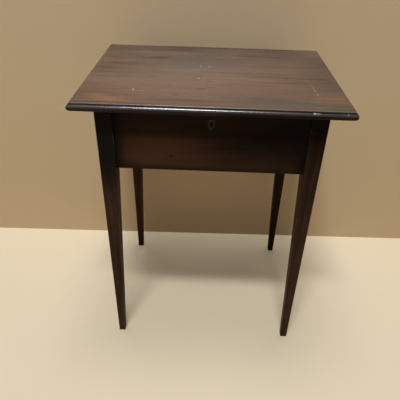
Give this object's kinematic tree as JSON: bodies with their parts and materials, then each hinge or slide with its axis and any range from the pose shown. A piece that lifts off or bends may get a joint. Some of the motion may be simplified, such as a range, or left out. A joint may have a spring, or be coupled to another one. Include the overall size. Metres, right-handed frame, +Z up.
{
  "type": "tavern table",
  "caption": "Small dark-wood table with square tapered legs, a deep plain apron and a moulded lid that lifts on rear butt hinges over a boarded well with a box lock.",
  "frame": {"origin": "on the floor, under the middle of the lid", "axes": "+X to the right seen from the front, +Y to the back, +Z up"},
  "size_m": [0.61, 0.46, 0.737],
  "materials": {
    "finished_wood": "dark stained hardwood under old worn shellac, satin",
    "plain_wood": "bare secondary wood, aged, matt",
    "brass": "aged brass, dull",
    "iron": "dark iron, dull",
    "inlay": "brass darkened by age and varnish"
  },
  "bodies": {
    "frame": {"leg_front_left": "finished_wood", "leg_front_right": "finished_wood", "leg_rear_left": "finished_wood", "leg_rear_right": "finished_wood", "apron_front": "finished_wood", "apron_rear": "finished_wood", "apron_left": "finished_wood", "apron_right": "finished_wood", "tenon_pegs": "finished_wood", "ledger_front": "plain_wood", "ledger_rear": "plain_wood", "ledger_left": "plain_wood", "ledger_right": "plain_wood", "floor_board_front": "plain_wood", "floor_board_rear": "plain_wood", "hinge_left_frame_leaf": "brass", "hinge_left_pin": "brass", "hinge_right_frame_leaf": "brass", "hinge_right_pin": "brass", "hinge_frame_screws": "brass", "lock_backplate": "brass", "lock_screws": "brass", "ledger_nails": "iron", "lock_case": "iron", "lock_key_post": "iron", "lock_guide_pins": "iron", "lock_spring": "iron", "keyhole_escutcheon": "inlay"},
    "lid": {"lid_front_board": "finished_wood", "lid_rear_board": "finished_wood", "lid_batten_left": "plain_wood", "lid_batten_right": "plain_wood", "batten_screws": "iron", "hinge_left_lid_leaf": "brass", "hinge_right_lid_leaf": "brass", "hinge_lid_screws": "brass", "link_plate": "brass", "link_plate_screws": "brass"},
    "lock_bolt": {"lock_bolt": "brass"}
  },
  "joints": [
    {"name": "lid_hinge", "type": "hinge", "parent": "frame", "child": "lid", "pos_m": [0, 0.2113, 0.718], "axis": [-1, 0, 0], "range_deg": [0, 95]},
    {"name": "bolt_slide", "type": "slide", "parent": "frame", "child": "lock_bolt", "axis": [1, 0, 0], "range_m": [0, 0.0055]}
  ]
}
